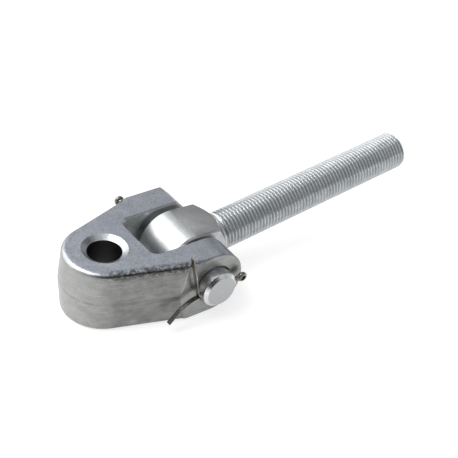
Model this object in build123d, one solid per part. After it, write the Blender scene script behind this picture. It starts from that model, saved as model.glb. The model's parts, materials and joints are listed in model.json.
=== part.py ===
"""Knuckle-jointed fork end for an M30 levelling rod.

A drop-forged fork carries an eye bolt on a plain clevis pin, and a split pin at each end keeps
the pin in. Millimetres, +Z up. The origin is the centre of the fork's nose bore at half its
height, +X runs from the nose towards the threaded rod and +Y is along the clevis pin.
"""
from build123d import *
from math import acos, asin, atan2, cos, degrees, hypot, radians, sin, tan
import os

# Fork: a forging, parted at half height, with its arms' outer faces milled flat
FORK_HEIGHT = 50.0
NOSE_RADIUS = 32.0  # at the parting plane
TAPER_ANGLE = 17.0  # of each flank, in plan
DRAFT_ANGLE = 4.5  # of the forged walls, each way from the parting plane
FORGED_EDGE_RADIUS = 3.5
FORK_WIDTH = 89.0  # over both milled faces
FLANK_OVERHANG = 1.2  # of the flank past the milled face, where it steps out to the arm
JOG_ANGLE = 62.0  # of that step, from +X
JOG_RADIUS = 3.0
MILLING_ALLOWANCE = 5.5  # milled off each arm
PIN_X = 65.0  # nose bore to clevis pin
ARM_EDGE_BREAK = 0.8
FAR_ARM_FLAT_REACH = 10.4  # of the far arm's flat top, past the clevis pin's axis
NOSE_BORE_DIAMETER = 25.0
NOSE_COUNTERSINK_WIDTH = 4.2
NOSE_COUNTERSINK_DEPTH = 2.8
SLOT_WIDTH = 45.0
SLOT_REACH = 39.0  # from the clevis pin's axis towards the nose
SLOT_CORNER_RADIUS = 7.0
SLOT_EDGE_CHAMFER = 1.0
PIN_HOLE_CHAMFER = 1.4

# Clevis pin
PIN_DIAMETER = 28.0
PIN_OVERHANG = 10.0  # past each milled face
PIN_END_CHAMFER = 2.4
RUNNING_CLEARANCE = 0.05  # radial, of the pin in the fork and in the eye
SPLIT_PIN_STAND_OFF = 5.0  # milled face to each split pin's hole

# Eye bolt: eye, tapered shank and threaded rod in one piece
EYE_RADIUS = 24.0
EYE_WIDTH = 37.0
EYE_EDGE_CHAMFER = 1.2
SHANK_TAPER_ANGLE = 10.7  # above and below, in side view
SHANK_LENGTH = 32.0  # from the pin's axis to the rod
SHANK_CONE_ANGLE = 56.0  # of the cone turned on the shank's end, from the rod's axis
ROD_ROOT_DEPTH = 8.0  # of the rod's cylinder inside the shank
ROD_DIAMETER = 30.0  # over the crests of the M30 thread
ROD_REACH = 215.0  # from the pin's axis
ROD_END_CHAMFER = 3.0
ROD_LIFT_ANGLE = 7.3  # of the rod above the fork's plane, as it stands

# Split pins: half-round wire folded double
WIRE_RADIUS = 1.85
LEG_GAP = 0.1
EYELET_RADIUS = 2.0  # inside
EYELET_NECK_RADIUS = 2.6
LEG_BEND_RADIUS = 3.2
SPLIT_PIN_CLEARANCE = 0.2  # radial, in the clevis pin's cross hole
NEAR_HOLE_ANGLE = 4.5  # of the eyelet about the clevis pin, from +X towards +Z
NEAR_EYELET_REACH = 21.4  # clevis pin's axis to the eyelet's centre
NEAR_UPPER_LEG_ANGLE = 81.0  # by which each leg is turned out
NEAR_UPPER_LEG_LENGTH = 36.0
NEAR_LOWER_LEG_ANGLE = 40.0
NEAR_LOWER_LEG_LENGTH = 9.0
NEAR_LOWER_LEG_BEND_RADIUS = 32.0
FAR_HOLE_ANGLE = 139.0
FAR_EYELET_REACH = 30.0
FAR_LEG_WRAP_ANGLE = 75.0  # of each leg round the clevis pin
LEG_EXIT = 0.6  # from the clevis pin's wall to the start of a leg's bend

HALF_HEIGHT = FORK_HEIGHT / 2
PIN_RADIUS = PIN_DIAMETER / 2
PIN_BORE_RADIUS = PIN_RADIUS + RUNNING_CLEARANCE
ROD_RADIUS = ROD_DIAMETER / 2
PIN_LENGTH = FORK_WIDTH + 2 * PIN_OVERHANG
SPLIT_PIN_Y = FORK_WIDTH / 2 + SPLIT_PIN_STAND_OFF
CUT_MARGIN = 10.0  # by which cutting tools run past what they cut

ACROSS = Plane.XZ  # sketches drawn in side view; its normal is -Y


def side_prism(sketch, width):
    """Extrude a side-view sketch evenly to both sides of the plane y = 0."""
    return extrude(ACROSS * sketch, amount=width / 2, both=True)


def pin_axis_cylinder(radius, length):
    """A cylinder along Y, centred on the clevis pin's axis."""
    return Pos(PIN_X, 0, 0) * Rot(90, 0, 0) * Cylinder(radius, length)


def forged_plan():
    """Plan of the forging at its parting plane: round nose, tapered flanks, wider arms."""
    taper = radians(TAPER_ANGLE)
    tangent_x = -NOSE_RADIUS * sin(taper)
    tangent_y = NOSE_RADIUS * cos(taper)
    jog_y = FORK_WIDTH / 2 + FLANK_OVERHANG
    jog_x = (jog_y - NOSE_RADIUS / cos(taper)) / tan(taper)
    arm_y = FORK_WIDTH / 2 + MILLING_ALLOWANCE
    arm_x = jog_x + (arm_y - jog_y) / tan(radians(JOG_ANGLE))
    end_x = PIN_X + HALF_HEIGHT + CUT_MARGIN
    upper = [(tangent_x, tangent_y), (jog_x, jog_y), (arm_x, arm_y), (end_x, arm_y)]
    lower = [(x, -y) for x, y in reversed(upper)]
    flanks = make_face(Polyline(*upper, *lower, close=True))
    plan = Circle(NOSE_RADIUS) + flanks
    jogs = [v for v in plan.vertices() if abs(v.X - jog_x) < 0.01]
    return fillet(jogs, JOG_RADIUS)


def forging():
    """The solid forging: drafted both ways from the parting plane, with rounded rims."""
    plan = forged_plan()
    upper = extrude(plan, amount=HALF_HEIGHT, taper=DRAFT_ANGLE)
    rim = upper.faces().sort_by(Axis.Z)[-1].outer_wire().edges()
    upper = fillet(rim, FORGED_EDGE_RADIUS)
    return upper + mirror(upper, about=Plane.XY)


def arm_side_view():
    """Side view of the fork: square at the nose, fully rounded round the clevis pin."""
    length = PIN_X + NOSE_RADIUS + CUT_MARGIN
    body = Pos(PIN_X - length / 2, 0) * Rectangle(length, FORK_HEIGHT)
    return body + Pos(PIN_X, 0) * Circle(HALF_HEIGHT)


def far_arm_corner():
    """The forging's full top corner on the far arm, which the rounding left standing.

    Seen from the side, the flat top runs on past the rounding's start, and then a line falls
    to touch the round end.
    """
    start = (0, HALF_HEIGHT)
    corner = (FAR_ARM_FLAT_REACH, HALF_HEIGHT)
    to_corner = hypot(*corner)
    touch = degrees(atan2(corner[1], corner[0])) - degrees(acos(HALF_HEIGHT / to_corner))
    end = (HALF_HEIGHT * cos(radians(touch)), HALF_HEIGHT * sin(radians(touch)))
    profile = make_face(Polyline((0, 0), start, corner, end, close=True))
    depth = (FORK_WIDTH - SLOT_WIDTH) / 2
    return Pos(PIN_X, FORK_WIDTH / 2, 0) * extrude(ACROSS * profile, amount=depth)


def slot_tool():
    """The slot between the arms, rounded in its inner corners and open towards the rod."""
    front_x = PIN_X - SLOT_REACH
    length = SLOT_REACH + HALF_HEIGHT + CUT_MARGIN
    plan = Pos(front_x + length / 2, 0) * Rectangle(length, SLOT_WIDTH)
    corners = plan.vertices().group_by(Axis.X)[0]
    plan = fillet(corners, SLOT_CORNER_RADIUS)
    tool = extrude(plan, amount=HALF_HEIGHT + CUT_MARGIN, both=True)
    flare = offset(plan, SLOT_EDGE_CHAMFER, kind=Kind.INTERSECTION)
    rim = loft([Pos(0, 0, HALF_HEIGHT - SLOT_EDGE_CHAMFER) * plan, Pos(0, 0, HALF_HEIGHT) * flare])
    return tool + rim + mirror(rim, about=Plane.XY)


def nose_bore_tool():
    """The nose bore with a countersink at each mouth, as one revolved cutting tool."""
    bore = NOSE_BORE_DIAMETER / 2
    mouth = bore + NOSE_COUNTERSINK_WIDTH
    throat_z = HALF_HEIGHT - NOSE_COUNTERSINK_DEPTH
    end_z = HALF_HEIGHT + CUT_MARGIN
    half = [(0, 0), (bore, 0), (bore, throat_z), (mouth, HALF_HEIGHT), (mouth, end_z), (0, end_z)]
    upper = revolve(Plane.XZ * make_face(Polyline(*half, close=True)), Axis.Z)
    return upper + mirror(upper, about=Plane.XY)


def pin_hole_tool():
    """The clevis pin's bore through both arms, chamfered at the milled faces."""
    face_y = FORK_WIDTH / 2
    mouth = PIN_BORE_RADIUS + PIN_HOLE_CHAMFER
    cone = Cone(PIN_BORE_RADIUS, mouth, PIN_HOLE_CHAMFER)
    near = Pos(PIN_X, -face_y + PIN_HOLE_CHAMFER / 2, 0) * Rot(90, 0, 0) * cone
    return pin_axis_cylinder(PIN_BORE_RADIUS, FORK_WIDTH + CUT_MARGIN) + near + mirror(near, about=Plane.XZ)


def fork():
    """The fork: forging, milled and rounded arms, slot and bores."""
    envelope = side_prism(arm_side_view(), FORK_WIDTH)
    body = forging() & (envelope + far_arm_corner())
    body = body - slot_tool()
    rims = [
        edge
        for edge in body.edges().filter_by(GeomType.CIRCLE)
        if abs(edge.radius - HALF_HEIGHT) < 0.01 and edge.center().X > PIN_X
    ]
    body = chamfer(rims, ARM_EDGE_BREAK)
    return body - nose_bore_tool() - pin_hole_tool()


def cross_hole(angle, y):
    """A split pin's hole through the clevis pin, at an angle about its axis."""
    radius = WIRE_RADIUS + LEG_GAP / 2 + SPLIT_PIN_CLEARANCE
    hole = Rot(0, 90, 0) * Cylinder(radius, PIN_DIAMETER + CUT_MARGIN)
    return Pos(PIN_X, y, 0) * Rot(0, -angle, 0) * hole


def clevis_pin():
    """The clevis pin: plain, chamfered at both ends, cross-drilled for the split pins."""
    shaft = pin_axis_cylinder(PIN_RADIUS, PIN_LENGTH)
    ends = shaft.edges().filter_by(GeomType.CIRCLE)
    shaft = chamfer(ends, PIN_END_CHAMFER)
    return shaft - cross_hole(NEAR_HOLE_ANGLE, -SPLIT_PIN_Y) - cross_hole(FAR_HOLE_ANGLE, SPLIT_PIN_Y)


def eye_side_view():
    """Side view of the eye and its shank: a round eye that tapers towards the rod."""
    taper = radians(SHANK_TAPER_ANGLE)
    tangent_x = EYE_RADIUS * sin(taper)
    tangent_z = EYE_RADIUS * cos(taper)
    end_z = EYE_RADIUS / cos(taper) - SHANK_LENGTH * tan(taper)
    upper = [(tangent_x, tangent_z), (SHANK_LENGTH, end_z)]
    lower = [(x, -z) for x, z in reversed(upper)]
    return Circle(EYE_RADIUS) + make_face(Polyline(*upper, *lower, close=True))


def shank_turning():
    """The turned envelope of the shank's end: a cone that runs down to the rod."""
    outer = EYE_RADIUS + CUT_MARGIN
    cone_x = SHANK_LENGTH - (outer - ROD_RADIUS) / tan(radians(SHANK_CONE_ANGLE))
    profile = [(-outer, 0), (-outer, outer), (cone_x, outer), (SHANK_LENGTH, ROD_RADIUS), (SHANK_LENGTH, 0)]
    return revolve(make_face(Polyline(*profile, close=True)), Axis.X)


def eye_block():
    """The eye with its shank, its rims chamfered and its end turned down to the rod."""
    block = extrude(ACROSS * eye_side_view(), amount=EYE_WIDTH / 2, both=True)
    rims = [
        edge
        for edge in block.edges()
        if abs(edge.center().Y) > EYE_WIDTH / 2 - 0.01 and edge.center().X < SHANK_LENGTH - 0.01
    ]
    return chamfer(rims, EYE_EDGE_CHAMFER) & shank_turning()


def eye_bolt():
    """The eye bolt, turned up about the clevis pin by its lift angle."""
    root_x = SHANK_LENGTH - ROD_ROOT_DEPTH
    length = ROD_REACH - root_x
    rod = Pos(root_x + length / 2, 0, 0) * Rot(0, 90, 0) * Cylinder(ROD_RADIUS, length)
    tip = rod.edges().filter_by(GeomType.CIRCLE).sort_by(Axis.X)[-1]
    rod = chamfer(tip, ROD_END_CHAMFER)
    bolt = eye_block() + rod
    bolt = bolt - Rot(90, 0, 0) * Cylinder(PIN_BORE_RADIUS, EYE_WIDTH + CUT_MARGIN)
    return Pos(PIN_X, 0, 0) * Rot(0, -ROD_LIFT_ANGLE, 0) * bolt


def eyelet_path(reach):
    """The folded end of a split pin: neck, eyelet and neck, tangent to both legs.

    It lies in the XY plane with the eyelet's centre on +X at the given reach. It is entered
    along the upper leg, heading +X, and left along the lower leg, heading -X.
    """
    inner = LEG_GAP / 2
    flare = degrees(acos((inner + EYELET_NECK_RADIUS) / (EYELET_NECK_RADIUS + EYELET_RADIUS)))
    neck_x = reach - (EYELET_NECK_RADIUS + EYELET_RADIUS) * sin(radians(flare))
    neck = JernArc((neck_x, inner), (1, 0), EYELET_NECK_RADIUS, flare)
    ring = JernArc(neck @ 1, neck % 1, EYELET_RADIUS, -(180 + 2 * flare))
    back = JernArc(ring @ 1, ring % 1, EYELET_NECK_RADIUS, flare)
    return neck, ring, back


def bent_leg(side, bend_radius, turn, length):
    """A leg bent away from the other by a turn in degrees, and then straight.

    side is 1 for the upper leg and -1 for the lower. The leg starts at the clevis pin's wall
    and heads -X.
    """
    start = (-PIN_RADIUS - LEG_EXIT, side * LEG_GAP / 2)
    bend = JernArc(start, (-1, 0), bend_radius, -side * turn)
    return start, [bend, Line(bend @ 1, bend @ 1 + (bend % 1) * length)]


def wrapped_leg(side, turn):
    """A leg bent down onto the clevis pin and carried round it by a turn in degrees."""
    start = (-PIN_RADIUS - LEG_EXIT, side * LEG_GAP / 2)
    to_bend_centre = hypot(start[0], LEG_GAP / 2 + LEG_BEND_RADIUS)
    first_turn = 90 - degrees(asin((LEG_GAP / 2 + LEG_BEND_RADIUS) / to_bend_centre))
    bend = JernArc(start, (-1, 0), LEG_BEND_RADIUS, -side * first_turn)
    wrap = JernArc(bend @ 1, bend % 1, to_bend_centre + LEG_BEND_RADIUS, -side * turn)
    return start, [bend, wrap]


def wire_along(edge, side):
    """Half-round wire along one straight or round edge, its flat side on the edge.

    side is 1 when the wire's round side lies to the left of the edge's heading.
    """
    frame = Plane(origin=edge @ 0, x_dir=(0, 0, 1), z_dir=edge % 0)
    half = Pos(0, -side * WIRE_RADIUS) * Rectangle(2 * WIRE_RADIUS, 2 * WIRE_RADIUS)
    section = frame * (Circle(WIRE_RADIUS) & half)
    if edge.geom_type == GeomType.LINE:
        return extrude(section, amount=edge.length, dir=edge % 0)
    centre = edge.arc_center
    turns_left = (edge @ 0 - centre).cross(edge % 0).Z > 0
    axis = Axis(centre, (0, 0, 1 if turns_left else -1))
    return revolve(section, axis, degrees(edge.length / edge.radius))


def split_pin(reach, upper, lower):
    """A split pin in the XY plane, of half-round wire with its flat side inwards."""
    upper_start, upper_curves = upper
    lower_start, lower_curves = lower
    neck, ring, back = eyelet_path(reach)
    inbound = [Line(upper_start, neck @ 0), neck, ring, back, Line(back @ 1, lower_start)]
    wires = [wire_along(edge, 1) for edge in inbound + lower_curves]
    wires += [wire_along(edge, -1) for edge in upper_curves]
    return wires[0].fuse(*wires[1:])


def place_split_pin(pin, angle, y):
    """Stand a flat split pin in side view, turned about the clevis pin's axis."""
    return Pos(PIN_X, y, 0) * Rot(0, -angle, 0) * Rot(90, 0, 0) * pin


def near_split_pin():
    """The split pin at the -Y end: one leg bent up along the arm, the other down."""
    upper = bent_leg(1, LEG_BEND_RADIUS, NEAR_UPPER_LEG_ANGLE, NEAR_UPPER_LEG_LENGTH)
    lower = bent_leg(-1, NEAR_LOWER_LEG_BEND_RADIUS, NEAR_LOWER_LEG_ANGLE, NEAR_LOWER_LEG_LENGTH)
    pin = split_pin(NEAR_EYELET_REACH, upper, lower)
    return place_split_pin(pin, NEAR_HOLE_ANGLE, -SPLIT_PIN_Y)


def far_split_pin():
    """The split pin at the +Y end: both legs wrapped round the clevis pin."""
    upper = wrapped_leg(1, FAR_LEG_WRAP_ANGLE)
    lower = wrapped_leg(-1, FAR_LEG_WRAP_ANGLE)
    return place_split_pin(split_pin(FAR_EYELET_REACH, upper, lower), FAR_HOLE_ANGLE, SPLIT_PIN_Y)


def main():
    """Write one STEP file for each separate piece."""
    os.makedirs("parts", exist_ok=True)
    pieces = {
        "fork": fork(),
        "eye_bolt": eye_bolt(),
        "clevis_pin": clevis_pin(),
        "split_pin_near": near_split_pin(),
        "split_pin_far": far_split_pin(),
    }
    for name, piece in pieces.items():
        export_step(piece, f"parts/{name}.step")


main()
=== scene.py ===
"""Forged fork end with a pinned eye bolt: the dressed visual model.

The fork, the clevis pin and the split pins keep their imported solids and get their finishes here.
The eye bolt is made again from its solid, with the rod's thread cut as a helix. Places and sizes
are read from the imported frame, and what it doesn't hold, such as the pitch, is a named value.
"""

import json
import logging
from dataclasses import dataclass
from enum import Enum

import bmesh
import bpy
import numpy as np
from mathutils import Matrix, Vector

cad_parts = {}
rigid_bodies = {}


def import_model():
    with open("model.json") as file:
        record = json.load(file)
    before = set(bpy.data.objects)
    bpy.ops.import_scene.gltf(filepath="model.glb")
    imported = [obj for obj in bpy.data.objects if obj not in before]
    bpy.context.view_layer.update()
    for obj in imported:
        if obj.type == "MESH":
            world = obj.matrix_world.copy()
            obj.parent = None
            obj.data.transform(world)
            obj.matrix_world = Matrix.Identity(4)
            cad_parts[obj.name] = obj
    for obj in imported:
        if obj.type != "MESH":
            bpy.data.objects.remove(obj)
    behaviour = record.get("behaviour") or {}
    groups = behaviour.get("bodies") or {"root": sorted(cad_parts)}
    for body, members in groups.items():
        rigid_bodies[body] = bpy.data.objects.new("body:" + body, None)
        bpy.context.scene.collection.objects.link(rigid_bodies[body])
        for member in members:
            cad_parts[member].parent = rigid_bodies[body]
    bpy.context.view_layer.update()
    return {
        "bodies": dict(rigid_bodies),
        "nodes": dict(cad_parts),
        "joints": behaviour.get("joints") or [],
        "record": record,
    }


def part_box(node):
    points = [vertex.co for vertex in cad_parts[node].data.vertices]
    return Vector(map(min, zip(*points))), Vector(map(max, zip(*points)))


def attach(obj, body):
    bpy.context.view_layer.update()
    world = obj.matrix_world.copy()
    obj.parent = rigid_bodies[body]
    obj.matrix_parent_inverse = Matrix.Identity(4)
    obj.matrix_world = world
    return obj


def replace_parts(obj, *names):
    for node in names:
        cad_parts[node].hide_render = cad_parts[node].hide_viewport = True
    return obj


LOG = logging.getLogger("fork_end")
MM = 0.001

Socket = bpy.types.NodeSocket
Value = Socket | float
Colour = tuple[float, float, float, float]
WHITE: Colour = (1.0, 1.0, 1.0, 1.0)


class Body(Enum):
    """The rigid bodies of the linkage."""

    FORK = "fork_body"
    ROD = "rod_body"
    PIN = "pin_body"


class Join(Enum):
    """How several masks make one: by their product, or by the strongest of them."""

    ALL = "MULTIPLY"
    ANY = "MAXIMUM"


def to_mm(metres: float) -> float:
    """Give millimetres, to a hundredth, from a packed place that is rounded itself."""
    return round(float(metres) / MM, 2)


@dataclass(frozen=True)
class PartSizes:
    """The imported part's places and sizes that the dressing follows, in millimetres.

    Attributes:
        pin_x: the clevis pin's axis, from the nose bore's.
        lift_deg: the rod's angle above level.
        bore_radius: the nose bore's radius.
        half_height: the fork's middle to its upper face.
        arm_face: the middle to an arm's outer face.
        pin_end: the middle to the clevis pin's end.
        rod_radius: the rod's radius over the thread's crests.
        full_from: the clevis pin's axis to where the rod has its full radius.
        full_to: the same axis to where the end's chamfer begins.
    """

    pin_x: float
    lift_deg: float
    bore_radius: float
    half_height: float
    arm_face: float
    pin_end: float
    rod_radius: float
    full_from: float
    full_to: float

    @classmethod
    def from_frame(cls, frame: dict) -> "PartSizes":
        """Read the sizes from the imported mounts, the hinge and the boxes of two nodes.

        The rod's lift is the angle of its mount's axis, and its full radius runs half the
        mount's length each way from the mount's middle.


        Returns:
            The sizes.
        """
        mounts = {mount["name"]: mount for mount in frame["record"]["mounts"]}
        thread = mounts["rod_thread"]
        hinge = next(joint for joint in frame["joints"] if joint["name"] == "rod_swing")
        middle = to_mm(np.linalg.norm(np.subtract(thread["pos_m"], hinge["pos_m"])))
        half_length = thread["dims"]["length_mm"] / 2
        fork_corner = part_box("fork")[1]
        along, _, up = thread["axis"]
        return cls(
            pin_x=to_mm(hinge["pos_m"][0]),
            lift_deg=round(float(np.degrees(np.arctan2(up, along))), 2),
            bore_radius=mounts["nose_bore"]["dims"]["r_mm"],
            half_height=to_mm(fork_corner.z),
            arm_face=to_mm(fork_corner.y),
            pin_end=to_mm(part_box("clevis_pin")[1].y),
            rod_radius=thread["dims"]["r_mm"],
            full_from=middle - half_length,
            full_to=middle + half_length,
        )


def linear_colour(hex_value: str) -> Colour:
    """Turn an sRGB hex colour into the linear one that the shaders take.

    Each part is divided by 12.92 where it is very dark, and raised to 2.4 elsewhere, as the
    sRGB curve has it.

    Args:
        hex_value: six hex digits, such as "a0a4a8".

    Returns:
        Linear red, green and blue, and an alpha of 1.
    """
    srgb = np.array([int(hex_value[i : i + 2], 16) for i in (0, 2, 4)]) / 255.0
    linear = np.where(srgb <= 0.04045, srgb / 12.92, ((srgb + 0.055) / 1.055) ** 2.4)
    return (float(linear[0]), float(linear[1]), float(linear[2]), 1.0)


def add_node(
    tree: bpy.types.NodeTree,
    kind: str,
    inputs: dict[str | int, Socket | float | tuple | Vector] | None = None,
    **settings: str | bool,
) -> bpy.types.Node:
    """Add one shader node with its settings, and link or set each of its inputs.

    Args:
        tree: the node tree that gets the node.
        kind: the node's type name.
        inputs: each input's name or number, with the output socket to link to it or the fixed
            value to set on it.
        **settings: properties of the node itself, such as a math node's operation.

    Returns:
        The new node.
    """
    node = tree.nodes.new(kind)
    for name, value in settings.items():
        setattr(node, name, value)
    for name, value in (inputs or {}).items():
        if isinstance(value, bpy.types.NodeSocket):
            tree.links.new(value, node.inputs[name])
        else:
            node.inputs[name].default_value = value
    return node


def span(start: float, end: float, least: float = 0.0, most: float = 1.0) -> dict[str, float]:
    """Give the limits of a straight change from least at start to most at end."""
    return {"From Min": start, "From Max": end, "To Min": least, "To Max": most}


class Shading:
    """A material's node tree while it is being built, with the patterns that finishes share.

    Attributes:
        material: the material being built.
        tree: its node tree.
        place: the socket with Object coordinates, in metres.
    """

    def __init__(self, name: str) -> None:
        """Start an empty material."""
        self.material = bpy.data.materials.new(name)
        self.material.use_nodes = True
        self.tree = self.material.node_tree
        self.tree.nodes.clear()
        self.place = add_node(self.tree, "ShaderNodeTexCoord").outputs["Object"]

    def noise(self, size_mm: float, detail: float = 4.0, stretch: float = 1.0) -> Socket:
        """Make a noise with features of about one size, drawn out along level lines.

        The noise's scale is one over the size, and the level coordinates are divided by the
        stretch.

        Args:
            size_mm: how high a feature is.
            detail: how many finer layers the noise has.
            stretch: how many times as long as high a feature is.

        Returns:
            The noise, from 0 to 1.
        """
        roughness = 0.6
        level = 1.0 / stretch
        inputs = {"Vector": self.place, "Scale": (level, level, 1.0)}
        drawn = add_node(self.tree, "ShaderNodeMapping", inputs).outputs["Vector"]
        inputs = {"Vector": drawn, "Scale": 1.0 / (size_mm * MM), "Detail": detail, "Roughness": roughness}
        return add_node(self.tree, "ShaderNodeTexNoise", inputs).outputs["Fac"]

    def pits(self, spacing_mm: float, radius_mm: float) -> Socket:
        """Make small round pits, one in each cell of a random pattern.

        The mask rises from 0 at the pit's radius to 1 at six tenths of it.

        Args:
            spacing_mm: the cells' size.
            radius_mm: a pit's radius.

        Returns:
            The mask, 1 in the pits and 0 between them.
        """
        floor_share = 0.6
        size = radius_mm / spacing_mm
        inputs = {"Vector": self.place, "Scale": 1.0 / (spacing_mm * MM)}
        cells = add_node(self.tree, "ShaderNodeTexVoronoi", inputs).outputs["Distance"]
        inputs = {"Value": cells, **span(size, size * floor_share)}
        return add_node(self.tree, "ShaderNodeMapRange", inputs).outputs["Result"]

    def uprightness(self) -> Socket:
        """Tell upright faces from level ones by the upright part of the surface's normal.

        Returns:
            The mask, 0 where that part is over 0.9 and 1 where it is under 0.5.
        """
        level_at, upright_at = 0.9, 0.5
        normal = add_node(self.tree, "ShaderNodeNewGeometry").outputs["Normal"]
        rise = add_node(self.tree, "ShaderNodeSeparateXYZ", {"Vector": normal}).outputs["Z"]
        size = add_node(self.tree, "ShaderNodeMath", {0: rise}, operation="ABSOLUTE").outputs[0]
        inputs = {"Value": size, **span(level_at, upright_at)}
        return add_node(self.tree, "ShaderNodeMapRange", inputs).outputs["Result"]

    def joined(self, how: Join, *masks: Value) -> Socket:
        """Make one mask of several, taken one after another.

        Args:
            how: by their product or by the strongest.
            *masks: two or more masks or fixed shares.

        Returns:
            The joined mask.
        """
        joined = masks[0]
        for mask in masks[1:]:
            inputs = {0: joined, 1: mask}
            joined = add_node(self.tree, "ShaderNodeMath", inputs, operation=how.value).outputs[0]
        return joined

    def layered(self, base: Socket | str, *layers: tuple[Socket, Socket | str]) -> Socket:
        """Lay tones over a base, one after another, each as far as its mask says.

        Args:
            base: the lowest tone, as hex digits or as the socket that gives it.
            *layers: each layer's mask and its tone.

        Returns:
            The colour after the last layer.
        """
        for mask, tone in layers:
            lower, upper = (linear_colour(c) if isinstance(c, str) else c for c in (base, tone))
            inputs = {"Factor": mask, "A": lower, "B": upper}
            base = add_node(self.tree, "ShaderNodeMix", inputs, data_type="RGBA").outputs["Result"]
        return base

    def finish(
        self, colour: Socket, roughness: Socket, height: Socket, depth_mm: float, strength: Value = 1.0
    ) -> bpy.types.Material:
        """Close the tree with a metal of this colour, roughness and surface height.

        Args:
            colour: the metal's colour.
            roughness: how far it blurs reflections.
            height: the surface's height, from 0 to 1.
            depth_mm: what a height of 1 stands for.
            strength: how much of that height shows.

        Returns:
            The finished material.
        """
        inputs = {"Height": height, "Distance": depth_mm * MM, "Strength": strength}
        normal = add_node(self.tree, "ShaderNodeBump", inputs).outputs["Normal"]
        inputs = {"Base Color": colour, "Roughness": roughness, "Normal": normal, "Metallic": 1.0}
        shader = add_node(self.tree, "ShaderNodeBsdfPrincipled", inputs).outputs["BSDF"]
        add_node(self.tree, "ShaderNodeOutputMaterial", {"Surface": shader})
        return self.material


@dataclass(frozen=True)
class ZincPlatedSteel:
    """Zinc-plated steel: zinc electroplated on turned, rolled or drawn steel.

    The bath and the clear passivation leave clouds, so tone and gloss drift over some
    millimetres, and the steel's grain shows faintly under them. The grain of such steel is too
    fine to show at this size, so it is drawn coarser, at grain_mm.

    Attributes:
        name: the material's name.
        colour: its general tone.
        dull: the tone of the duller clouds.
        roughness: how far it blurs reflections.
        cloud_mm: size of the clouds.
        grain_mm: size of the drawn grain.
        grain_depth_mm: depth of that grain.
        speckle: how far the grain darkens the tone.
        end: the tone of the cut ends across Y, or None.
        end_mm: where those ends start, from the middle.
        shade: the tone of the grain's dark side.
        cloud_edges: the noise where the clouds are dullest and brightest.
        grain_edges: the noise where the grain begins to darken and is darkest.
        drift: how far the clouds change the roughness each way.
    """

    name: str
    colour: str
    dull: str
    roughness: float
    cloud_mm: float
    grain_mm: float
    grain_depth_mm: float
    speckle: float
    end: str | None = None
    end_mm: float = 0.0
    shade: str = "202022"
    cloud_edges: tuple[float, float] = (0.3, 0.7)
    grain_edges: tuple[float, float] = (0.55, 0.3)
    drift: float = 0.05

    def build(self) -> bpy.types.Material:
        """Build the material on Object coordinates.

        Returns:
            The material.
        """
        shading = Shading(self.name)
        tree = shading.tree
        clouds = shading.noise(self.cloud_mm)
        grain = shading.noise(self.grain_mm, detail=3.0)
        inputs = {"Value": clouds, **span(*self.cloud_edges)}
        bright = add_node(tree, "ShaderNodeMapRange", inputs).outputs["Result"]
        tone = shading.layered(self.dull, (bright, self.colour))
        if self.end is not None:
            y = add_node(tree, "ShaderNodeSeparateXYZ", {"Vector": shading.place}).outputs["Y"]
            across = add_node(tree, "ShaderNodeMath", {0: y}, operation="ABSOLUTE").outputs[0]
            inputs = {0: across, 1: self.end_mm * MM}
            cut = add_node(tree, "ShaderNodeMath", inputs, operation="GREATER_THAN").outputs[0]
            tone = shading.layered(tone, (cut, self.end))
        inputs = {"Value": grain, **span(*self.grain_edges, most=self.speckle)}
        dark = add_node(tree, "ShaderNodeMapRange", inputs).outputs["Result"]
        tone = shading.layered(tone, (dark, self.shade))
        rough, smooth = self.roughness + self.drift, self.roughness - self.drift
        inputs = {"Value": clouds, **span(*self.cloud_edges, rough, smooth)}
        gloss = add_node(tree, "ShaderNodeMapRange", inputs).outputs["Result"]
        return shading.finish(tone, gloss, grain, self.grain_depth_mm)


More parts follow.
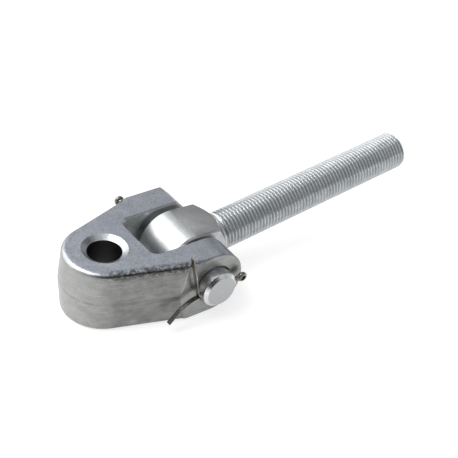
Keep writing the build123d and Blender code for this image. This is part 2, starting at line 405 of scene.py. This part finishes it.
@dataclass(frozen=True)
class ZincPlatedForging:
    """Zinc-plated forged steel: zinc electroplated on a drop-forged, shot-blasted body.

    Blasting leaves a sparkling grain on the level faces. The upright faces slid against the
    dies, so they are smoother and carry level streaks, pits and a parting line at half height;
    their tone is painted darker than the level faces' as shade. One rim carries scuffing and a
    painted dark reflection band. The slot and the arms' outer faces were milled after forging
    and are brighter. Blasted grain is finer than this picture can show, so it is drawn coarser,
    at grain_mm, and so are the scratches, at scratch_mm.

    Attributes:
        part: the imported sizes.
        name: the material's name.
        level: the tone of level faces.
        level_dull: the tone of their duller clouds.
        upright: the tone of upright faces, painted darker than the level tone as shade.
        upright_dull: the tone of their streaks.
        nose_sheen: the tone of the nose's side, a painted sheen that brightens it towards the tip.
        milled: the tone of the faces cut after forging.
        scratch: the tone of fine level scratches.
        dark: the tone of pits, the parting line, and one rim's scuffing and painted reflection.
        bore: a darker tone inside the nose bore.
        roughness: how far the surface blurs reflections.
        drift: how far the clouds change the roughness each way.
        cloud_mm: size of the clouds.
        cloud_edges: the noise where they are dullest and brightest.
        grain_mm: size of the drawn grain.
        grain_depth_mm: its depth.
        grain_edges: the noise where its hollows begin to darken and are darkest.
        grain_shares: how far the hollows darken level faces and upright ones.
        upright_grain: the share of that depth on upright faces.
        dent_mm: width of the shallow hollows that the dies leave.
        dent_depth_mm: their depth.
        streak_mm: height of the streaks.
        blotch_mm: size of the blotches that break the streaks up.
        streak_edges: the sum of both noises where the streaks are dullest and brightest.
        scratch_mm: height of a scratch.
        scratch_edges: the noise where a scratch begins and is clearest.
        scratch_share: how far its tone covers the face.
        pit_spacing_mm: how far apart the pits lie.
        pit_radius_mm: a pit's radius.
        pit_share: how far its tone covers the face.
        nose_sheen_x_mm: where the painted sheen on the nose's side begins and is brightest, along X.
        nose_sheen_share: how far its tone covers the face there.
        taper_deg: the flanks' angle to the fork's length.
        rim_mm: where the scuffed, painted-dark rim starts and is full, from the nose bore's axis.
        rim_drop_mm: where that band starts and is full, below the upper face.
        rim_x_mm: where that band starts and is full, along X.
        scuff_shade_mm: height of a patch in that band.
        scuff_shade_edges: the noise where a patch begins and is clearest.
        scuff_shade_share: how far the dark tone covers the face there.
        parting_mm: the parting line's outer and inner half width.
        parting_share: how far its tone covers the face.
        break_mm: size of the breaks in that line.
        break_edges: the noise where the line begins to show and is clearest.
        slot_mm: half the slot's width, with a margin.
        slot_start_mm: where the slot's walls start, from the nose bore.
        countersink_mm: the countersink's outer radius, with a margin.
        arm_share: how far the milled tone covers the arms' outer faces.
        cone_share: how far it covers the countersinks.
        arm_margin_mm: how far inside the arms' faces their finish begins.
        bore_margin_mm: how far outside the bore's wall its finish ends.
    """

    part: PartSizes
    name: str = "zinc_plated_forging"
    level: str = "acb0b9"
    level_dull: str = "989ca5"
    upright: str = "888987"
    upright_dull: str = "757673"
    nose_sheen: str = "c2c3c1"
    milled: str = "d8dbdb"
    scratch: str = "c6c7c5"
    dark: str = "3c3d3e"
    bore: str = "646466"
    roughness: float = 0.36
    drift: float = 0.05
    cloud_mm: float = 14.0
    cloud_edges: tuple[float, float] = (0.35, 0.65)
    grain_mm: float = 1.3
    grain_depth_mm: float = 0.11
    grain_edges: tuple[float, float] = (0.52, 0.32)
    grain_shares: tuple[float, float] = (0.4, 0.14)
    upright_grain: float = 0.35
    dent_mm: float = 12.0
    dent_depth_mm: float = 0.5
    streak_mm: float = 3.2
    blotch_mm: float = 7.0
    streak_edges: tuple[float, float] = (0.8, 1.2)
    scratch_mm: float = 0.8
    scratch_edges: tuple[float, float] = (0.6, 0.72)
    scratch_share: float = 0.3
    pit_spacing_mm: float = 7.0
    pit_radius_mm: float = 0.7
    pit_share: float = 0.5
    nose_sheen_x_mm: tuple[float, float] = (-4.0, -32.0)
    nose_sheen_share: float = 0.42
    taper_deg: float = 17.0
    rim_mm: tuple[float, float] = (24.2, 27.0)
    rim_drop_mm: tuple[float, float] = (7.0, 3.5)
    rim_x_mm: tuple[float, float] = (-24.0, -6.0)
    scuff_shade_mm: float = 1.5
    scuff_shade_edges: tuple[float, float] = (0.36, 0.56)
    scuff_shade_share: float = 0.85
    parting_mm: tuple[float, float] = (0.9, 0.2)
    parting_share: float = 0.3
    break_mm: float = 9.0
    break_edges: tuple[float, float] = (0.4, 0.6)
    slot_mm: float = 22.7
    slot_start_mm: float = 20.0
    countersink_mm: float = 16.75
    arm_share: float = 0.16
    cone_share: float = 0.2
    arm_margin_mm: float = 0.2
    bore_margin_mm: float = 0.1

    def build(self) -> bpy.types.Material:
        """Build the material on Object coordinates.

        Returns:
            The material.
        """
        shading = Shading(self.name)
        tree = shading.tree
        at = add_node(tree, "ShaderNodeSeparateXYZ", {"Vector": shading.place}).outputs
        upright = shading.uprightness()
        clouds = self.clouds(shading)
        grain = shading.noise(self.grain_mm, detail=3.0)
        radius = self.radius(shading, at)
        inputs = {0: radius, 1: (self.part.bore_radius + self.bore_margin_mm) * MM}
        in_bore = add_node(tree, "ShaderNodeMath", inputs, operation="LESS_THAN").outputs[0]
        level = shading.layered(self.level_dull, (clouds, self.level))
        # Upright faces get a darker tone than level ones: painted shade, with real die streaks.
        shaded_sides = shading.layered(self.upright_dull, (self.streaks(shading), self.upright))
        tone = shading.layered(
            level,
            (upright, shaded_sides),
            (self.scratches(shading, upright), self.scratch),
            # Painted sheen: the nose's side is lightened towards its tip.
            (self.painted_nose_sheen(shading, at, upright), self.nose_sheen),
            (self.speckles(shading, grain, upright), self.dark),
            # Painted dark reflection and scuffing on one rim; the pits and parting line are real.
            (self.shaded_rim_and_parting(shading, at, upright), self.dark),
            (self.milled_faces(shading, at, upright, radius), self.milled),
            (in_bore, self.bore),
        )
        inputs = {"Value": clouds, **span(0.0, 1.0, self.roughness + self.drift, self.roughness - self.drift)}
        gloss = add_node(tree, "ShaderNodeMapRange", inputs).outputs["Result"]
        inputs = {"Value": upright, **span(0.0, 1.0, 1.0, self.upright_grain)}
        strength = add_node(tree, "ShaderNodeMapRange", inputs).outputs["Result"]
        dent_share = self.dent_depth_mm / self.grain_depth_mm
        dents = shading.joined(Join.ALL, shading.noise(self.dent_mm, detail=2.0), dent_share)
        surface = add_node(tree, "ShaderNodeMath", {0: grain, 1: dents}, operation="ADD").outputs[0]
        return shading.finish(tone, gloss, surface, self.grain_depth_mm, strength)

    def clouds(self, shading: Shading) -> Socket:
        """Mask the brighter clouds of the plating."""
        inputs = {"Value": shading.noise(self.cloud_mm), **span(*self.cloud_edges)}
        return add_node(shading.tree, "ShaderNodeMapRange", inputs).outputs["Result"]

    def streaks(self, shading: Shading) -> Socket:
        """Mask the brighter streaks: a level, drawn-out noise and a blotchy one, added up.

        Args:
            shading: the material being built.

        Returns:
            The mask.
        """
        drawn_out = shading.noise(self.streak_mm, detail=5.0, stretch=6.0)
        inputs = {0: drawn_out, 1: shading.noise(self.blotch_mm, detail=5.0)}
        both = add_node(shading.tree, "ShaderNodeMath", inputs, operation="ADD").outputs[0]
        inputs = {"Value": both, **span(*self.streak_edges)}
        return add_node(shading.tree, "ShaderNodeMapRange", inputs).outputs["Result"]

    def scratches(self, shading: Shading, upright: Socket) -> Socket:
        """Mask fine level scratches on upright faces, where a long, thin noise peaks.

        Args:
            shading: the material being built.
            upright: the mask of upright faces.

        Returns:
            The mask.
        """
        thin = shading.noise(self.scratch_mm, detail=2.0, stretch=22.0)
        inputs = {"Value": thin, **span(*self.scratch_edges, most=self.scratch_share)}
        lines = add_node(shading.tree, "ShaderNodeMapRange", inputs).outputs["Result"]
        return shading.joined(Join.ALL, lines, upright)

    def painted_nose_sheen(self, shading: Shading, at: bpy.types.NodeOutputs, upright: Socket) -> Socket:
        """Mask a painted sheen on the nose's side, more and more towards its tip.

        Args:
            shading: the material being built.
            at: the place's X, Y and Z, in metres.
            upright: the mask of upright faces.

        Returns:
            The mask.
        """
        start, end = self.nose_sheen_x_mm
        inputs = {"Value": at["X"], **span(start * MM, end * MM, most=self.nose_sheen_share)}
        sheen_towards_tip = add_node(shading.tree, "ShaderNodeMapRange", inputs).outputs["Result"]
        return shading.joined(Join.ALL, sheen_towards_tip, upright)

    def speckles(self, shading: Shading, grain: Socket, upright: Socket) -> Socket:
        """Mask the grain's dark side, mostly on level faces, and sparse pits.

        Args:
            shading: the material being built.
            grain: the grain's noise.
            upright: the mask of upright faces.

        Returns:
            The mask.
        """
        inputs = {"Value": upright, **span(0.0, 1.0, *self.grain_shares)}
        share = add_node(shading.tree, "ShaderNodeMapRange", inputs).outputs["Result"]
        inputs = {"Value": grain, **span(*self.grain_edges)}
        hollows = add_node(shading.tree, "ShaderNodeMapRange", inputs).outputs["Result"]
        pits = shading.joined(Join.ALL, shading.pits(self.pit_spacing_mm, self.pit_radius_mm), self.pit_share)
        return shading.joined(Join.ANY, shading.joined(Join.ALL, hollows, share), pits)

    def shaded_rim_and_parting(self, shading: Shading, at: bpy.types.NodeOutputs, upright: Socket) -> Socket:
        """Mask one flank's upper rim, scuffed and painted dark as a reflection, and the parting
        line at half height.

        The rim's distance from the nose bore's axis is the sum of X and Y times the parts of
        the flank's outward heading, which the taper turns from the crosswise one. The scuffing
        and the painted dark reflection hold where that distance, the height and X are all in
        their ranges, broken by a noise. The parting line is a narrow band about zero height,
        broken the same way.

        Args:
            shading: the material being built.
            at: the place's X, Y and Z, in metres.
            upright: the mask of upright faces.

        Returns:
            The mask.
        """
        tree = shading.tree
        taper = np.radians(self.taper_deg)
        outward = {0: at["X"], 1: float(-np.sin(taper))}, {0: at["Y"], 1: float(-np.cos(taper))}
        parts = [add_node(tree, "ShaderNodeMath", part, operation="MULTIPLY").outputs[0] for part in outward]
        distance = add_node(tree, "ShaderNodeMath", dict(enumerate(parts)), operation="ADD").outputs[0]
        top = self.part.half_height
        ranges = (
            (distance, span(*(edge * MM for edge in self.rim_mm))),
            (at["Z"], span(*((top - drop) * MM for drop in self.rim_drop_mm))),
            (at["X"], span(*(edge * MM for edge in self.rim_x_mm))),
            (shading.noise(self.scuff_shade_mm, stretch=1.6), span(*self.scuff_shade_edges, most=self.scuff_shade_share)),
        )
        # One flank's rim band: scuffing and a painted dark reflection.
        scuff_and_shade_masks = [
            add_node(tree, "ShaderNodeMapRange", {"Value": value, **limits}).outputs["Result"]
            for value, limits in ranges
        ]
        off_middle = add_node(tree, "ShaderNodeMath", {0: at["Z"]}, operation="ABSOLUTE").outputs[0]
        outer, inner = self.parting_mm
        inputs = {"Value": off_middle, **span(outer * MM, inner * MM, most=self.parting_share)}
        line = add_node(tree, "ShaderNodeMapRange", inputs).outputs["Result"]
        inputs = {"Value": shading.noise(self.break_mm), **span(*self.break_edges)}
        breaks = add_node(tree, "ShaderNodeMapRange", inputs).outputs["Result"]
        parting = shading.joined(Join.ALL, line, breaks, upright)
        return shading.joined(Join.ANY, shading.joined(Join.ALL, *scuff_and_shade_masks), parting)

    def radius(self, shading: Shading, at: bpy.types.NodeOutputs) -> Socket:
        """Give the distance from the nose bore's axis: the root of X squared plus Y squared.

        Args:
            shading: the material being built.
            at: the place's X, Y and Z, in metres.

        Returns:
            The distance, in metres.
        """
        tree = shading.tree
        squares = [shading.joined(Join.ALL, at[name], at[name]) for name in ("X", "Y")]
        total = add_node(tree, "ShaderNodeMath", dict(enumerate(squares)), operation="ADD").outputs[0]
        return add_node(tree, "ShaderNodeMath", {0: total}, operation="SQRT").outputs[0]

    def milled_faces(
        self, shading: Shading, at: bpy.types.NodeOutputs, upright: Socket, radius: Socket
    ) -> Socket:
        """Mask the slot's walls, the arms' outer faces and the countersinks by their places.

        Args:
            shading: the material being built.
            at: the place's X, Y and Z, in metres.
            upright: the mask of upright faces.
            radius: the distance from the nose bore's axis.

        Returns:
            The mask.
        """
        tree = shading.tree
        across = add_node(tree, "ShaderNodeMath", {0: at["Y"]}, operation="ABSOLUTE").outputs[0]
        tests = (
            ("LESS_THAN", across, self.slot_mm),
            ("GREATER_THAN", at["X"], self.slot_start_mm),
            ("GREATER_THAN", across, self.part.arm_face - self.arm_margin_mm),
            ("LESS_THAN", radius, self.countersink_mm),
        )
        in_slot, past_web, on_arm, in_cone = (
            add_node(tree, "ShaderNodeMath", {0: value, 1: limit * MM}, operation=test).outputs[0]
            for test, value, limit in tests
        )
        walls = shading.joined(Join.ALL, in_slot, past_web)
        faces = shading.joined(Join.ANY, walls, shading.joined(Join.ALL, on_arm, self.arm_share))
        cones = shading.joined(Join.ALL, in_cone, self.cone_share)
        return shading.joined(Join.ANY, shading.joined(Join.ALL, faces, upright), cones)


# Rolled thread: the rolling leaves smooth flanks, so the plating is even and hardly speckled.
ROLLED_THREAD = ZincPlatedSteel(
    name="zinc_plated_thread",
    colour="c6c9cb",
    dull="b1b5b7",
    roughness=0.34,
    cloud_mm=6.0,
    grain_mm=0.7,
    grain_depth_mm=0.02,
    speckle=0.05,
)

# Forged and machined eye: a satin surface that blurs reflections most, with wide clouds.
MACHINED_EYE = ZincPlatedSteel(
    name="zinc_plated_eye",
    colour="c2c4c6",
    dull="adb0b2",
    roughness=0.38,
    cloud_mm=12.0,
    grain_mm=1.1,
    grain_depth_mm=0.04,
    speckle=0.15,
)

# Drawn wire: the plating is thin and dirty, so it is the darkest and has small, strong clouds.
DRAWN_WIRE = ZincPlatedSteel(
    name="zinc_plated_wire",
    colour="999791",
    dull="625f5a",
    roughness=0.22,
    cloud_mm=3.0,
    grain_mm=0.9,
    grain_depth_mm=0.05,
    speckle=0.4,
)


def dress(piece: bpy.types.Object, material: bpy.types.Material) -> None:
    """Give a piece one material in place of what it had."""
    piece.data.materials.clear()
    piece.data.materials.append(material)


@dataclass(frozen=True)
class Fork:
    """The forged fork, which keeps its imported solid.

    Attributes:
        solid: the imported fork.
        part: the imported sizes.
    """

    solid: bpy.types.Object
    part: PartSizes

    def build(self) -> list[bpy.types.Object]:
        """Dress the fork as a plated forging.

        Returns:
            The fork.
        """
        dress(self.solid, ZincPlatedForging(self.part).build())
        return [self.solid]


@dataclass(frozen=True)
class PinSet:
    """The clevis pin with its two split pins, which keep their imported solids.

    Attributes:
        clevis_pin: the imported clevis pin.
        split_pins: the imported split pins.
        part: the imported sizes.
        end_margin_mm: how far inside the clevis pin's ends their finish begins.
    """

    clevis_pin: bpy.types.Object
    split_pins: tuple[bpy.types.Object, bpy.types.Object]
    part: PartSizes
    end_margin_mm: float = 0.1

    def build(self) -> list[bpy.types.Object]:
        """Dress the clevis pin as turned bar with duller cut ends, and the split pins as wire.

        Returns:
            The three pins.
        """
        turned_bar = ZincPlatedSteel(
            name="zinc_plated_pin",
            colour="dcdedf",
            dull="c2c5c6",
            roughness=0.26,
            cloud_mm=6.0,
            grain_mm=0.8,
            grain_depth_mm=0.014,
            speckle=0.12,
            end="a8aaac",
            end_mm=self.part.pin_end - self.end_margin_mm,
        )
        dress(self.clevis_pin, turned_bar.build())
        wire = DRAWN_WIRE.build()
        for split_pin in self.split_pins:
            dress(split_pin, wire)
        return [self.clevis_pin, *self.split_pins]


def mesh_from_grid(name: str, grid: np.ndarray, start: np.ndarray, end: np.ndarray) -> bpy.types.Object:
    """Make a tube from rings of points, closed at both ends by a centre point.

    Each wall face joins a point, the one along, the one along and round, and the one round.
    Each end is a fan from its centre point.

    Args:
        name: the new object's name.
        grid: rings along the first axis, points round each ring along the second.
        start: the point that closes the first ring.
        end: the point that closes the last ring.

    Returns:
        The new object, linked to the scene.
    """
    rings, around = grid.shape[:2]
    index = np.arange(rings * around).reshape(rings, around)
    after = np.roll(index, -1, axis=1)
    walls = np.stack([index[:-1], index[1:], after[1:], after[:-1]], axis=-1).reshape(-1, 4)
    first = rings * around
    cap_start = np.stack([np.full(around, first), index[0], after[0]], axis=-1)
    cap_end = np.stack([np.full(around, first + 1), after[-1], index[-1]], axis=-1)
    points = np.concatenate([grid.reshape(-1, 3), start[None], end[None]])
    mesh = bpy.data.meshes.new(name)
    mesh.from_pydata(points.tolist(), [], walls.tolist() + cap_start.tolist() + cap_end.tolist())
    mesh.update()
    piece = bpy.data.objects.new(name, mesh)
    bpy.context.scene.collection.objects.link(piece)
    return piece


@dataclass(frozen=True)
class EyeBolt:
    """The eye with its shank, and the rod with its rolled thread.

    Attributes:
        solid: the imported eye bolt.
        part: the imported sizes.
        joint_back_mm: how far before the rod's full radius its mesh begins.
        overlap_mm: how much further the eye's mesh runs.
        run_in_mm: how far past the start of the full radius the thread starts.
        depth_mm: crest to root.
        pitch_mm: the thread's pitch.
        crest_share: the part of a pitch that the flat crest takes.
        root_share: the part of a pitch that the flat root takes.
        chamfer_mm: the rod end's chamfer.
        phase_deg: the helix's angle about the rod where it crosses the pin's axis.
        sharp_deg: the least angle between faces that leaves a crisp edge.
        rings_per_pitch: rings of points in one pitch.
        points_around: points in one ring.
        merge_m: how close two of the solid's loose corners are when they are one.
    """

    solid: bpy.types.Object
    part: PartSizes
    joint_back_mm: float = 0.5
    overlap_mm: float = 0.45
    run_in_mm: float = 1.0
    depth_mm: float = 1.84
    pitch_mm: float = 3.0
    crest_share: float = 1 / 8
    root_share: float = 1 / 4
    chamfer_mm: float = 3.0
    phase_deg: float = 166.7
    sharp_deg: float = 28.0
    rings_per_pitch: int = 16
    points_around: int = 64
    merge_m: float = 1e-6

    @property
    def joint_mm(self) -> float:
        """Give where the rod's mesh begins, from the pin's axis."""
        return self.part.full_from - self.joint_back_mm

    @property
    def reach_mm(self) -> float:
        """Give where the rod ends, from the pin's axis."""
        return self.part.full_to + self.chamfer_mm

    def turn(self) -> np.ndarray:
        """Give the turn about Y by the rod's lift, from rod coordinates to the part's.

        Returns:
            The matrix, with the rod's own direction as its first column.
        """
        lift = np.radians(self.part.lift_deg)
        return np.array(
            [
                [np.cos(lift), 0.0, -np.sin(lift)],
                [0.0, 1.0, 0.0],
                [np.sin(lift), 0.0, np.cos(lift)],
            ]
        )

    def place(self, points_mm: np.ndarray) -> np.ndarray:
        """Turn points in rod millimetres by the lift, move them to the pin and give metres.

        Args:
            points_mm: points with x along the rod, from the pin's axis.

        Returns:
            The points in the part's metres.
        """
        return (points_mm @ self.turn().T + np.array([self.part.pin_x, 0.0, 0.0])) * MM

    def rod_radius(self, s: np.ndarray, angle: np.ndarray) -> np.ndarray:
        """Give the rod's radius at each distance along it and angle round it.

        The helix rises by one pitch a turn. Within a pitch the crest and the root are flat for
        their shares, and straight flanks join them. The groove fades in over a pitch at its
        start, and a cone cuts the rod's end.

        Args:
            s: millimetres along the rod.
            angle: radians round it.

        Returns:
            The radius in millimetres.
        """
        turn = s / self.pitch_mm - (angle - np.radians(self.phase_deg)) / (2 * np.pi)
        off_crest = np.abs(turn - np.round(turn))
        crest_edge = self.crest_share / 2
        root_edge = (1 - self.root_share) / 2
        groove = np.clip((off_crest - crest_edge) / (root_edge - crest_edge), 0.0, 1.0)
        thread_start = self.part.full_from + self.run_in_mm
        fade = np.clip((s - thread_start) / self.pitch_mm, 0.0, 1.0)
        threaded = self.part.rod_radius - self.depth_mm * groove * fade
        cone = self.part.rod_radius - np.clip(s - self.part.full_to, 0.0, None)
        return np.minimum(threaded, cone)

    def build_rod(self) -> bpy.types.Object:
        """Build the threaded rod as rings, close together along each pitch.

        Returns:
            The rod.
        """
        step = self.pitch_mm / self.rings_per_pitch
        s = np.append(np.arange(self.joint_mm, self.reach_mm, step), self.reach_mm)
        angle = np.linspace(0.0, 2 * np.pi, self.points_around, endpoint=False)
        along, around = np.meshgrid(s, angle, indexing="ij")
        radius = self.rod_radius(along, around)
        rings = np.stack([along, radius * np.cos(around), radius * np.sin(around)], axis=-1)
        start = self.place(np.array([self.joint_mm, 0.0, 0.0]))
        end = self.place(np.array([self.reach_mm, 0.0, 0.0]))
        rod = mesh_from_grid("threaded_rod", self.place(rings), start, end)
        rod.data.shade_smooth()
        rod.data.set_sharp_from_angle(angle=np.radians(self.sharp_deg))
        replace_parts(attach(rod, Body.ROD.value), "eye_bolt")
        dress(rod, ROLLED_THREAD.build())
        return rod

    def build_eye(self) -> bpy.types.Object:
        """Take the eye and shank from a copy of the solid, up to the rod's joint.

        Returns:
            The eye, closed where the rod enters it.
        """
        shell = bmesh.new()
        shell.from_mesh(self.solid.data)
        bmesh.ops.remove_doubles(shell, verts=shell.verts, dist=self.merge_m)
        axis = Vector(self.turn()[:, 0])
        cut = Vector(self.place(np.array([self.joint_mm + self.overlap_mm, 0.0, 0.0])))
        geometry = list(shell.verts) + list(shell.edges) + list(shell.faces)
        bmesh.ops.bisect_plane(shell, geom=geometry, plane_co=cut, plane_no=axis, clear_outer=True)
        rim = [edge for edge in shell.edges if edge.is_boundary]
        bmesh.ops.holes_fill(shell, edges=rim)
        mesh = bpy.data.meshes.new("eye")
        shell.to_mesh(mesh)
        shell.free()
        eye = bpy.data.objects.new("eye", mesh)
        bpy.context.scene.collection.objects.link(eye)
        mesh.shade_smooth()
        mesh.set_sharp_from_angle(angle=np.radians(self.sharp_deg))
        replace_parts(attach(eye, Body.ROD.value), "eye_bolt")
        dress(eye, MACHINED_EYE.build())
        return eye

    def build(self) -> list[bpy.types.Object]:
        """Build the eye and then the rod."""
        return [self.build_eye(), self.build_rod()]


@dataclass(frozen=True)
class Camera:
    """The camera: where it stands, how it is turned, and its lens.

    Attributes:
        place_mm: its position in the part's frame.
        azimuth_deg: its turn about the vertical.
        elevation_deg: how far above level it stands.
        roll_deg: its turn about its own line of sight.
        focal_px: its focal length in pixels of the square picture.
        width_px: that picture's width.
        sensor_mm: the width of the camera's sensor.
        clip_m: the nearest and the furthest distance that it sees.
    """

    place_mm: tuple[float, float, float] = (-314.066, -485.741, 484.110)
    azimuth_deg: float = -41.178
    elevation_deg: float = 36.733
    roll_deg: float = 8.288
    focal_px: float = 1057.46
    width_px: float = 458.0
    sensor_mm: float = 36.0
    clip_m: tuple[float, float] = (0.01, 20.0)

    def build(self) -> None:
        """Make the camera and set it as the scene's.

        The azimuth and the elevation give the line of sight, and the roll turns the two
        directions across it.
        """
        turn, rise, roll = np.radians([self.azimuth_deg, self.elevation_deg, self.roll_deg])
        back = np.array([np.sin(turn) * np.cos(rise), -np.cos(turn) * np.cos(rise), np.sin(rise)])
        level = np.array([np.cos(turn), np.sin(turn), 0.0])
        up = np.cross(back, level)
        right = np.cos(roll) * level + np.sin(roll) * up
        above = -np.sin(roll) * level + np.cos(roll) * up
        data = bpy.data.cameras.new("camera")
        data.sensor_width = self.sensor_mm
        data.lens = self.focal_px / self.width_px * self.sensor_mm
        data.clip_start, data.clip_end = self.clip_m
        camera = bpy.data.objects.new("camera", data)
        turned = Matrix(np.stack([right, above, back], axis=1).tolist()).to_4x4()
        camera.matrix_world = Matrix.Translation(np.array(self.place_mm) * MM) @ turned
        bpy.context.scene.collection.objects.link(camera)
        bpy.context.scene.camera = camera


@dataclass(frozen=True)
class Lobe:
    """A dim part of the surround.

    Attributes:
        middle: the direction of its middle.
        edge: the cosine of the angle from the middle where it begins.
        full: the cosine of the angle where it is dimmest.
        least: the share of the light that is left there.
    """

    middle: tuple[float, float, float]
    edge: float
    full: float
    least: float


@dataclass(frozen=True)
class SoftBox:
    """A square area lamp aimed at the nose bore.

    Attributes:
        name: the lamp's name.
        place_m: its position in metres.
        size_m: its side in metres.
        watts: its power.
    """

    name: str
    place_m: tuple[float, float, float]
    size_m: float
    watts: float

    def build(self) -> None:
        """Hang the lamp and turn it to the nose bore."""
        data = bpy.data.lights.new(self.name, "AREA")
        data.shape = "SQUARE"
        data.size = self.size_m
        data.energy = self.watts
        lamp = bpy.data.objects.new(self.name, data)
        turned = (-Vector(self.place_m)).to_track_quat("-Z", "Y").to_matrix().to_4x4()
        lamp.matrix_world = Matrix.Translation(self.place_m) @ turned
        bpy.context.scene.collection.objects.link(lamp)


@dataclass(frozen=True)
class Studio:
    """A white floor that keeps the shadow, a white surround and two soft boxes.

    Attributes:
        part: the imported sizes.
        gap_mm: how far the floor lies under the fork.
        floor_m: the floor's side.
        floor_x_m: the floor's middle along X.
        lit: the part of the floor's brightness that comes from the lamps, so shadows show.
        white: what the floor's own light and its lit part add up to.
        level: the surround's brightness.
        lobes: its dim parts: the front on the left, the upper right, a small dark patch within
            that, and the level far right.
        boxes: one soft box overhead on the left and a wide one behind on the left.
    """

    part: PartSizes
    gap_mm: float = 0.05
    floor_m: float = 8.0
    floor_x_m: float = 0.1
    lit: float = 0.38
    white: float = 1.1
    level: float = 0.9
    lobes: tuple[Lobe, ...] = (
        Lobe((-0.3, -0.9, 0.3), 0.7, 0.92, 0.04),
        Lobe((0.85, -0.2, 0.5), 0.5, 0.95, 0.88),
        Lobe((0.72, -0.18, 0.67), 0.88, 0.98, 0.1),
        Lobe((0.75, 0.65, -0.05), 0.6, 0.95, 0.55),
    )
    boxes: tuple[SoftBox, ...] = (
        SoftBox("top_box", (-0.55, 0.2, 1.1), 0.7, 9.0),
        SoftBox("back_box", (-0.65, 0.93, 0.87), 1.8, 22.0),
    )

    def floor_white(self) -> bpy.types.Material:
        """Make a matt white that also glows to the camera and in reflections.

        Its glow is the white less the lit part, for camera and glossy rays, and none for the
        rest.

        Returns:
            The floor's material.
        """
        material = bpy.data.materials.new("studio_floor")
        material.use_nodes = True
        tree = material.node_tree
        tree.nodes.clear()
        path = add_node(tree, "ShaderNodeLightPath").outputs
        inputs = {0: path["Is Camera Ray"], 1: path["Is Glossy Ray"]}
        seen = add_node(tree, "ShaderNodeMath", inputs, operation="ADD", use_clamp=True).outputs[0]
        inputs = {0: seen, 1: self.white - self.lit}
        strength = add_node(tree, "ShaderNodeMath", inputs, operation="MULTIPLY").outputs[0]
        matt = add_node(tree, "ShaderNodeBsdfDiffuse", {"Color": (self.lit, self.lit, self.lit, 1.0)})
        glow = add_node(tree, "ShaderNodeEmission", {"Strength": strength, "Color": WHITE})
        both = add_node(tree, "ShaderNodeAddShader", {0: matt.outputs[0], 1: glow.outputs[0]})
        add_node(tree, "ShaderNodeOutputMaterial", {"Surface": both.outputs[0]})
        return material

    def build_floor(self) -> None:
        """Lay a wide floor under the part."""
        height = -(self.part.half_height + self.gap_mm) * MM
        bpy.ops.mesh.primitive_plane_add(size=self.floor_m, location=(self.floor_x_m, 0.0, height))
        floor = bpy.context.object
        floor.name = "floor"
        dress(floor, self.floor_white())

    def build_world(self) -> None:
        """Light the part from a white surround with dim lobes, and show it as plain white.

        The dimness follows the direction alone: each lobe is a smooth step on the dot product
        of the direction with the lobe's middle, and the lobes multiply.
        """
        world = bpy.data.worlds.new("surround")
        bpy.context.scene.world = world
        world.use_nodes = True
        tree = world.node_tree
        tree.nodes.clear()
        heading = add_node(tree, "ShaderNodeTexCoord").outputs["Generated"]
        room: Value = self.level
        for lobe in self.lobes:
            inputs = {0: heading, 1: Vector(lobe.middle).normalized()}
            facing = add_node(tree, "ShaderNodeVectorMath", inputs, operation="DOT_PRODUCT").outputs["Value"]
            inputs = {"Value": facing, **span(lobe.edge, lobe.full, 1.0, lobe.least)}
            dimmer = add_node(tree, "ShaderNodeMapRange", inputs, interpolation_type="SMOOTHSTEP")
            inputs = {0: room, 1: dimmer.outputs["Result"]}
            room = add_node(tree, "ShaderNodeMath", inputs, operation="MULTIPLY").outputs[0]
        camera_ray = add_node(tree, "ShaderNodeLightPath").outputs["Is Camera Ray"]
        seen = add_node(tree, "ShaderNodeMix", {"Factor": camera_ray, "A": room, "B": 1.0}).outputs["Result"]
        sky = add_node(tree, "ShaderNodeBackground", {"Strength": seen, "Color": WHITE}).outputs[0]
        add_node(tree, "ShaderNodeOutputWorld", {"Surface": sky})

    def build(self) -> None:
        """Build the floor, the surround and the soft boxes."""
        self.build_floor()
        self.build_world()
        for box in self.boxes:
            box.build()


def main() -> None:
    """Dress the solids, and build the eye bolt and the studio."""
    logging.basicConfig(level=logging.INFO)
    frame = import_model()
    bpy.context.scene.view_settings.view_transform = "Standard"
    part = PartSizes.from_frame(frame)
    nodes = frame["nodes"]
    Camera().build()
    groups = (
        Fork(nodes["fork"], part),
        PinSet(nodes["clevis_pin"], (nodes["split_pin_near"], nodes["split_pin_far"]), part),
        EyeBolt(nodes["eye_bolt"], part),
    )
    for group in groups:
        for piece in group.build():
            LOG.info("%s: %d faces", piece.name, len(piece.data.polygons))
    Studio(part).build()


if __name__ == "__main__":
    main()
